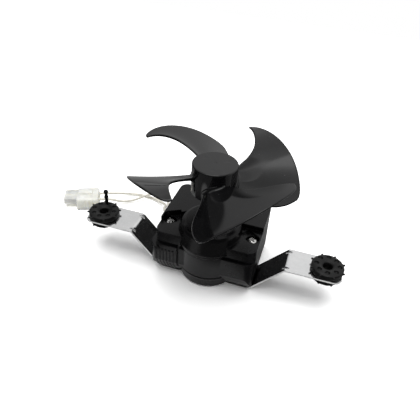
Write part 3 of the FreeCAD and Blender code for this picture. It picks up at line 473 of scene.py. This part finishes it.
fan = {
    "hubRadius": 12.5, "hubBottom": 58.5, "hubTop": 76.3, "hubWall": 1.8, "boss": 4.2, "bore": 1.62,
    "boreTop": 73.1, "bossFoot": 59.5, "ceiling": 2.2, "topRound": 0.9, "lipRound": 0.5,
    # the webs: half their thickness, their start above the lip, how far they go into the walls around them
    "webHalf": 0.7, "webFoot": 2, "inCeiling": 1, "inBoss": 0.6, "inWall": 0.5,
    "blades": 4, "start": -10.7, "thick": 1.5, "span": 33.8,
    # share of "thick" that a blade has at its root, and how much less of it at its rim
    "rootThick": 1.25, "rimThinner": 0.4,
    # a blade's height over the angle, at the root and at the rim, from "heightTurn" degrees back from the tip
    "height": (69.2, 75.3), "pitch": (7.5, 18.3), "camber": (16.0, -18.0), "sweep": (18.0, -2.0),
    "heightTurn": 40, "dish": 2.0,
    # share of the way out, then degrees back from the tip
    "leading": [(-0.04, -38.0), (0.09, -30.5), (0.28, -26.3), (0.5, -19.8), (0.66, -12.3), (0.8, -5.0),
                (0.94, 2.0)],
    "trailing": [(-0.04, -88.0), (0.2, -84.0), (0.5, -83.0), (0.8, -76.8), (1.08, -67.8)],
    # share of the way from tip to trailing corner, then the reach as a share of the span
    "rim": [(0.0, 0.91), (0.06, 0.96), (0.15, 0.99), (0.5, 0.985), (0.8, 1.007), (0.93, 1.02), (0.98, 1.014),
            (1.0, 0.986)],
    "edgeSteps": (0.0, 0.05, 0.14, 0.27, 0.45, 0.68, 1.0),
    "rootSteps": (-1.2, -0.4, 0.0, 0.1, 0.25, 0.45, 0.75, 1.1, 1.5),
    "fillet": 1.5, "rows": 30, "columns": 40, "segments": 192, "topStep": 0.2, "slopeStep": 0.002,
    # the mould's marks on the hub's top: pin marks in a circle, and the gate in the middle
    "pinMarks": 3, "pinReach": 7.4, "pinStart": 35, "pinRadius": 1.5, "pinDepth": 0.07,
    "gateRadius": 1.1, "gateDepth": 0.22, "sharpFrom": 35,
}


def bladePoint(along, share):
    # a point of the blade's middle surface, from its leading edge to its trailing edge and from hub to rim
    angle = (1 - along) * eased(fan["leading"], share) + along * eased(fan["trailing"], share)
    p = math.radians(angle + fan["heightTurn"])
    lift = sum((root + (rim - root) * share) * p ** power for power, (root, rim) in
               enumerate((fan["height"], fan["pitch"], fan["camber"], fan["sweep"])))
    lift -= fan["dish"] * share * (1 - share) + fan["thick"] / 2
    radius = fan["hubRadius"] + fan["span"] * share
    turn = math.radians(angle)
    return Vector((radius * math.cos(turn), radius * math.sin(turn), lift))


def bladeNormal(along, share):
    step = fan["slopeStep"]
    across = bladePoint(along + step, share) - bladePoint(along - step, share)
    outward = bladePoint(along, share + step) - bladePoint(along, share - step)
    normal = across.cross(outward).normalized()
    if normal.z < 0:
        normal.negate()
    return normal


def bladeGrid():
    # rows of (upper, lower) points; both meet at the three free edges
    span, steps, root, fillet = fan["span"], fan["edgeSteps"], fan["rootSteps"], fan["fillet"]
    rowCount = len(root) + fan["rows"] + len(steps)
    grid = []
    for i in range(rowCount):
        guess = i / (rowCount - 1)
        spread = math.radians(eased(fan["leading"], guess) - eased(fan["trailing"], guess))
        chord = (fan["hubRadius"] + span * guess) * spread
        line = []
        for across in spaced(steps, steps, chord, fan["columns"]):
            along = across / chord
            reach = span * eased(fan["rim"], along)
            out = spaced(root, steps, reach, fan["rows"])[i]
            middle = bladePoint(along, out / span)
            normal = bladeNormal(along, out / span)
            half = fan["thick"] * (fan["rootThick"] - fan["rimThinner"] * max(0.0, out / span)) / 2 * normal.z
            inset = min(reach - out, across, chord - across, half)
            half *= math.sqrt(max(0.0, 1 - (1 - inset / half) ** 2))
            near = max(0.0, fillet - max(0.0, out))
            if inset > 0:
                half += fillet - math.sqrt(fillet ** 2 - near ** 2)
            line.append((middle + normal * half, middle - normal * half))
        grid.append(line)
    return grid


def makeFanWheel():
    build = bmesh.new()
    radius, top, bottom = fan["hubRadius"], fan["hubTop"], fan["hubBottom"]
    inner, ceiling = radius - fan["hubWall"], top - fan["ceiling"]
    lip, edge = fan["lipRound"], fan["topRound"]
    profile = [(fan["topStep"] * k, top) for k in range(round((radius - edge) / fan["topStep"]))]
    profile += arc((radius - edge, top - edge), edge, 90, 0)
    profile += arc((radius - lip, bottom + lip), lip, 0, -90)
    profile += arc((inner + lip, bottom + lip), lip, -90, -180)
    profile += arc((inner - edge, ceiling - edge), edge, 0, 90)
    profile += arc((fan["boss"] + edge, ceiling - edge), edge, 90, 180)
    profile += arc((fan["boss"] - lip, fan["bossFoot"] + lip), lip, 0, -90)
    profile += [(fan["bore"], fan["bossFoot"]), (fan["bore"], fan["boreTop"]), (0, fan["boreTop"])]
    pins = spotsRound(fan["pinMarks"], fan["pinReach"], fan["pinStart"])

    def marks(x, y, height):
        if height < top:
            return 0
        return (hollowAt(x, y, pins, fan["pinRadius"], fan["pinDepth"])
                + hollowAt(x, y, [(0, 0)], fan["gateRadius"], fan["gateDepth"]))

    addLathe(build, profile, fan["segments"], dip=marks)
    grid = bladeGrid()
    xs = (fan["boss"] - fan["inBoss"], inner + fan["inWall"])
    ys = (-fan["webHalf"], fan["webHalf"])
    zs = (bottom + fan["webFoot"], ceiling + fan["inCeiling"])
    for number in range(fan["blades"]):
        turn = Matrix.Rotation(math.radians(fan["start"] + 360 * number / fan["blades"]), 3, "Z")
        for side in (0, 1):
            addGrid(build, [[turn @ pair[side] for pair in line] for line in grid], flip=side == 1)
        addGrid(build, [[turn @ pair[side] for pair in grid[0]] for side in (0, 1)])
        # a web between the inner boss and the cup
        web = Matrix.Rotation(2 * math.pi * number / fan["blades"], 3, "Z")
        for y in ys:
            addGrid(build, [[web @ Vector((x, y, z)) for x in xs] for z in zs])
        addGrid(build, [[web @ Vector((x, y, zs[0])) for x in xs] for y in ys])
    mesh = finished(build, "fanWheel", fan["sharpFrom"])
    return newPiece("fanWheel", mesh, "rotor", "fan_plastic", fanPlastic, "fan_wheel")


makeFanWheel()
print("fan wheel made")


# Grommets in the strap's ears, the left one with a pull tail

grommet = {
    "spacing": 139.5, "level": 21.3, "bore": 2.6, "waist": 5.95, "strip": 1.0,
    # the upper flange: its radius, the round at its rim and that one's height, and the round under it
    "rim": 9.35, "rimRound": 0.8, "rimLevel": 3.35, "underRound": 0.5,
    # the top's radius and height, from the bore out to the rim
    "top": [(2.6, 2.9), (2.8, 3.45), (3.3, 3.85), (4.2, 4.25), (5.4, 4.6), (6.8, 4.72), (7.9, 4.5),
            (8.7, 4.14)],
    # the lower flange: its radius and depth, its lower round and that one's height, and the round above it
    "lowFlange": 8.8, "lowThick": 4.3, "lowRound": 1.2, "lowRoundLevel": 1.7, "upperRound": 0.4,
    # how far in its flat foot ends, the chamfer at the bore, and the degrees that the rims' rounds go through
    "lowFlat": 2.8, "boreChamfer": 0.4, "roundTurn": 75,
    "nubs": 8, "nubStart": -20, "nubRadius": 0.62, "nubReach": 1.1, "nubRoot": 0.6,
    "nubLevels": ((3.4, 9.35), (-2.4, 8.8)),
    "recessPitch": 6.5, "recessRadius": 1.55, "recessDepth": 1.0,
    "segments": 288, "step": 0.2, "sharpFrom": 50,
    # the tail's outline: radius, then height over the ear's underside
    "tail": [(1.0, 4.0), (1.0, 7.6), (1.15, 8.1), (1.35, 8.8), (1.35, 9.5), (1.15, 10.1), (0.95, 10.6),
             (0.95, 11.7), (1.2, 12.1), (1.45, 12.7), (1.45, 13.4), (1.2, 14.0), (0.6, 14.4), (0, 14.45)],
    "tailPlace": (-1.7, 7.0), "tailSegments": 24,
}


def makeGrommet(name, side, cadNode, withTail):
    g = grommet
    build = bmesh.new()
    foot, low, soft, edge = -g["lowThick"], g["lowFlange"], g["lowRound"], g["rimRound"]
    upper, under, chamfer = g["upperRound"], g["underRound"], g["boreChamfer"]
    profile = [(g["bore"], foot + chamfer), (g["bore"] + chamfer, foot), (low - g["lowFlat"], foot)]
    profile += arc((low - soft, foot + g["lowRoundLevel"]), soft, -g["roundTurn"], 0)
    profile += arc((low - upper, -upper), upper, 0, 90)
    profile += [(g["waist"], 0), (g["waist"], g["strip"])]
    profile += arc((g["rim"] - under, g["strip"] + under), under, -90, 0)
    profile += arc((g["rim"] - edge, g["rimLevel"]), edge, 0, g["roundTurn"])
    first, last = g["top"][0][0], g["top"][-1][0]
    count = round((last - first) / g["step"])
    spread = [last - (last - first) * k / count for k in range(1, count + 1)]
    profile += [(r, eased(g["top"], r)) for r in spread]
    profile.append(profile[0])
    # the recesses lie between the nubs
    pits = spotsRound(g["nubs"], g["recessPitch"], g["nubStart"] + 180 / g["nubs"])

    def recesses(x, y, height):
        return 0 if height < g["top"][0][1] else hollowAt(x, y, pits, g["recessRadius"], g["recessDepth"])

    addLathe(build, profile, g["segments"], dip=recesses)
    for x, y in spotsRound(g["nubs"], 1, g["nubStart"]):
        way = Vector((x, y, 0))
        for level, reach in g["nubLevels"]:
            start = way * (reach - g["nubRoot"]) + Vector((0, 0, level))
            addPeg(build, start, way, g["nubReach"] + g["nubRoot"], g["nubRadius"])
    if withTail:
        addLathe(build, g["tail"], g["tailSegments"], g["tailPlace"])
    mesh = finished(build, name, g["sharpFrom"])
    mesh.transform(Matrix.Translation((side * g["spacing"] / 2 * mm, 0, g["level"] * mm)))
    return newPiece(name, mesh, "motor", "black_rubber", blackRubber, cadNode)


makeGrommet("leftGrommet", -1, "left_grommet", True)
makeGrommet("rightGrommet", 1, "right_grommet", False)
print("grommets made")


# Clamp screws with cross recesses in their pan heads

screws = {
    "spacing": 50.8, "foot": 0.1, "radius": 1.5, "pointWidth": 0.3, "pointHeight": 0.4, "seat": 29.0,
    "headRadius": 3.0, "headEdge": 0.75, "headRise": 2.0, "headChamfer": 0.15, "headPower": 3,
    # the cross is shallower towards its ends by a share of its depth
    "crossWidth": 0.42, "crossReach": 1.75, "crossDepth": 1.2, "crossSlope": 0.35, "crossTurn": 20,
    "segments": 160, "step": 0.1, "sharpFrom": 40,
}


def makeScrews():
    s = screws
    build = bmesh.new()
    turn = math.radians(s["crossTurn"])
    foot, seat, thread, head, chamfer = s["foot"], s["seat"], s["radius"], s["headRadius"], s["headChamfer"]
    top, edge = seat + s["headRise"], seat + s["headEdge"]

    def cross(x, y, height):
        if height < edge:
            return 0
        a = abs(x * math.cos(turn) + y * math.sin(turn))
        b = abs(y * math.cos(turn) - x * math.sin(turn))
        slot = min(a, b) < s["crossWidth"] and max(a, b) < s["crossReach"]
        return s["crossDepth"] * (1 - s["crossSlope"] * max(a, b) / s["crossReach"]) if slot else 0

    count = round(head / s["step"])
    shares = [1 - k / count for k in range(count + 1)]
    profile = [(0, foot), (thread - s["pointWidth"], foot), (thread, foot + s["pointHeight"]), (thread, seat),
               (head - chamfer, seat), (head, seat + chamfer)]
    profile += [(head * share, top - (top - edge) * share ** s["headPower"]) for share in shares]
    for side in (-1, 1):
        addLathe(build, profile, s["segments"], (side * s["spacing"] / 2, 0), cross)
    mesh = finished(build, "clampScrews", s["sharpFrom"])
    return newPiece("clampScrews", mesh, "motor", "zinc_steel", zincScrew, "clamp_screws")


makeScrews()
print("screws made")


# Leads, each one smooth spline through the route's control points

leads = {
    "radius": 0.85, "bevelSteps": 5, "curveSteps": 10, "order": 3,
    "leadNear": [(-31.6, 20.9, 18.0), (-37.4, 20.9, 18.0), (-42.0, 31.0, 12.8), (-44.4, 41.4, 7.2),
                 (-51.0, 48.6, 3.2), (-60.0, 53.6, 1.4), (-70.4, 54.4, 1.2), (-80.4, 50.4, 2.2),
                 (-88.79, 42.33, 5.4), (-96.15, 39.2, 5.4)],
    "leadFar": [(-31.6, 23.3, 18.0), (-35.8, 23.3, 18.0), (-40.8, 35.6, 16.4), (-47.0, 47.4, 10.0),
                (-54.6, 55.6, 5.2), (-63.0, 52.6, 4.8), (-70.6, 45.8, 2.0), (-78.6, 40.2, 1.8),
                (-86.06, 35.88, 5.4), (-93.42, 32.76, 5.4)],
    "lengths": {"leadNear": 90.9, "leadFar": 89.1},
}


def makeLead(name, cadNode):
    curve = bpy.data.curves.new(name, "CURVE")
    curve.dimensions = "3D"
    curve.bevel_depth = leads["radius"] * mm
    curve.bevel_resolution = leads["bevelSteps"]
    curve.resolution_u = leads["curveSteps"]
    spline = curve.splines.new("NURBS")
    spline.points.add(len(leads[name]) - 1)
    for point, spot in zip(spline.points, leads[name]):
        point.co = (*(c * mm for c in spot), 1)
    spline.order_u = leads["order"]
    spline.use_endpoint_u = True
    made = newPiece(name, curve, "motor", "lead_insulation", leadSleeve, cadNode)


makeLead("leadNear", "lead_near")
makeLead("leadFar", "lead_far")
print("leads made")


# Studio, with its lengths in metres

studio = {
    # the paper as the camera sees it, and painted reflection levels: the paper's colour as only the object's
    # gloss mirrors it near its front, around that, further off and behind it
    "floorSize": 1.2, "paper": 0.95, "paperRough": 0.9, "paperGain": 0.66, "mirroredNear": 0.92,
    "mirroredRing": 0.04, "mirroredFar": 0.17, "mirroredBack": 0.27, "mirroredGain": 0.5,
    # where the front of the mirrored paper goes over to its back
    "frontEnd": (-0.02, 0.03),
    # painted reflection: bright places of the paper as only the gloss mirrors it: where they lie, then how
    # far out they end and how soft
    "nearPlace": ((-0.008, 0, 0), 0.044, 0.005), "leftPlace": ((-0.047, -0.088, 0), 0.028, 0.007),
    "ringPlace": ((-0.008, 0, 0), 0.082, 0.012),
    "skyLight": 0.22, "lampHeight": 1.0, "lampSize": 1.1, "lampEnergy": 12.4,
    # brightness of the mirrored room: height of the direction, then level
    "wall": [(0.0, 0.5), (0.35, 0.62), (0.5, 0.7), (0.62, 0.86), (0.82, 0.8), (1.0, 0.8)],
    # the wall from left to right: two directions, then the share of its brightness there
    "wallDim": (-0.6, 0.1, 0.78, 1.05),
    # the soft box overhead, by how far the direction leans to the right, and beyond its rear edge by how far
    # it leans back
    "softBox": [(0.1, 2.9), (0.18, 2.8), (0.19, 2.0), (0.2, 1.45), (0.215, 1.1), (0.25, 0.85), (0.3, 0.75)],
    "softBoxLean": (1.0, 0.45, 0.0), "boxStart": (0.9, 0.95), "boxRange": (0.0, 0.4),
    "rearBox": [(0.2, 1.4), (0.3, 1.1), (0.35, 1.0)],
    "rearLean": (0.25, 1.0, 0.0), "rearEdge": 0.213, "rearSoft": 0.004,
    # the dark room lies beyond a leaning plane and below a height that tilts, both with a soft edge
    "dark": 0.08, "darkPlane": (-0.305, -0.753, 0.583), "planeSoft": (0.0, 0.015),
    "darkHeight": 0.66, "darkTilt": 0.13, "heightSoft": (0.0, 0.08),
}


def makeFloor():
    mesh = bpy.data.meshes.new("floor")
    half = studio["floorSize"] / 2
    corners = [(-half, -half, 0), (half, -half, 0), (half, half, 0), (-half, half, 0)]
    mesh.from_pydata(corners, [], [(0, 1, 2, 3)])
    made = newObject("floor", mesh)
    dull = {"Roughness": studio["paperRough"], "Specular IOR Level": 0.0}
    paper, tree, shader, place = shaderBase("floorPaper", dull)

    def paintedReflectionSpot(centre, reach, soft):
        away = vectorNode(tree, "DISTANCE", place, centre)
        return mapped(tree, away, reach - soft, reach + soft, first=1.0, last=0.0)

    # painted reflection: the paper's colour as only the gloss sees it, set place by place, bright near the
    # object's front and at the left, dark around that, dimmer further off and behind
    front = mapped(tree, partsOf(tree, place)["Y"], *studio["frontEnd"], first=1.0, last=0.0)
    nearby = paintedReflectionSpot(*studio["nearPlace"])
    bright = mathNode(tree, "MAXIMUM", nearby, paintedReflectionSpot(*studio["leftPlace"]))
    dim = mixFloat(tree, paintedReflectionSpot(*studio["ringPlace"]), studio["mirroredFar"], studio["mirroredRing"])
    level = mixFloat(tree, bright, dim, studio["mirroredNear"])
    mirrored = mixFloat(tree, front, studio["mirroredBack"], level)
    path = node(tree, "LightPath").outputs
    direct, glossy = path["Is Camera Ray"], path["Is Glossy Ray"]
    tree.links.new(mixFloat(tree, glossy, studio["paper"], mirrored), shader["Base Color"])
    # the camera alone sees the paper brighter, so it goes to white away from the shadow, and a painted
    # reflection makes the gloss alone mirror it brighter near the object's front
    nearGain = mathNode(tree, "MULTIPLY", mathNode(tree, "MULTIPLY", nearby, front),
                        mathNode(tree, "MULTIPLY", glossy, studio["mirroredGain"]))
    gain = node(tree, "BsdfDiffuse")
    tree.links.new(mixFloat(tree, direct, nearGain, studio["paperGain"]), gain.inputs["Color"])
    both = node(tree, "AddShader")
    tree.links.new(tree.nodes["Principled BSDF"].outputs[0], both.inputs[0])
    tree.links.new(gain.outputs[0], both.inputs[1])
    tree.links.new(both.outputs[0], tree.nodes["Material Output"].inputs["Surface"])
    mesh.materials.append(paper)


def ramp(tree, value, stops, low=0.0, high=1.0):
    # a curve of levels over a value, from a colour ramp
    made = node(tree, "ValToRGB")
    peak = max(level for spot, level in stops)
    marks = made.color_ramp.elements
    while len(marks) < len(stops):
        marks.new(0.5)
    for mark, (spot, level) in zip(marks, stops):
        mark.position = (spot - low) / (high - low)
        mark.color = (level / peak, level / peak, level / peak, 1)
    tree.links.new(mapped(tree, value, low, high), made.inputs[0])
    return mathNode(tree, "MULTIPLY", made.outputs[0], peak)


def makeWorld():
    world = bpy.data.worlds.new("world")
    bpy.context.scene.world = world
    world.use_nodes = True
    tree = world.node_tree
    background = tree.nodes["Background"].inputs
    path = node(tree, "LightPath").outputs
    look = node(tree, "TexCoord").outputs["Generated"]
    way = partsOf(tree, look)

    def leaning(direction):
        return vectorNode(tree, "DOT_PRODUCT", look, direction)

    # a pale wall that dims to the left
    dim = mapped(tree, way["X"], *studio["wallDim"])
    wall = mathNode(tree, "MULTIPLY", ramp(tree, way["Z"], studio["wall"]), dim)
    # a soft box overhead
    back, edge, soft = leaning(studio["rearLean"]), studio["rearEdge"], studio["rearSoft"]
    softBox = ramp(tree, leaning(studio["softBoxLean"]), studio["softBox"], *studio["boxRange"])
    rearBox = ramp(tree, back, studio["rearBox"], *studio["boxRange"])
    lit = mixFloat(tree, mapped(tree, back, edge - soft, edge + soft), softBox, rearBox)
    box = mixFloat(tree, mapped(tree, way["Z"], *studio["boxStart"]), 1.0, lit)
    # a dark room in front and at the left
    beyond = mapped(tree, leaning(studio["darkPlane"]), *studio["planeSoft"])
    tilt = mathNode(tree, "MULTIPLY", way["X"], studio["darkTilt"])
    limit = mathNode(tree, "ADD", tilt, studio["darkHeight"])
    below = mapped(tree, mathNode(tree, "SUBTRACT", limit, way["Z"]), *studio["heightSoft"])
    dark = mathNode(tree, "MULTIPLY", beyond, below)
    room = mixFloat(tree, dark, mathNode(tree, "MULTIPLY", wall, box), studio["dark"])
    # the gloss mirrors that room, and all else sees plain white, dimmer where it lights the object
    seen = mathNode(tree, "MAXIMUM", path["Is Camera Ray"], path["Is Transmission Ray"])
    light = mixFloat(tree, seen, studio["skyLight"], 1.0)
    background["Color"].default_value = (1, 1, 1, 1)
    tree.links.new(mixFloat(tree, path["Is Glossy Ray"], light, room), background["Strength"])


def makeLamp():
    # a wide soft light overhead, which the gloss doesn't mirror
    data = bpy.data.lights.new("softLamp", "AREA")
    data.energy = studio["lampEnergy"]
    data.size = studio["lampSize"]
    made = newObject("softLamp", data)
    made.location = (0, 0, studio["lampHeight"])
    made.visible_glossy = False


makeFloor()
makeWorld()
makeLamp()
bpy.context.scene.view_settings.view_transform = "Standard"
print("studio made")
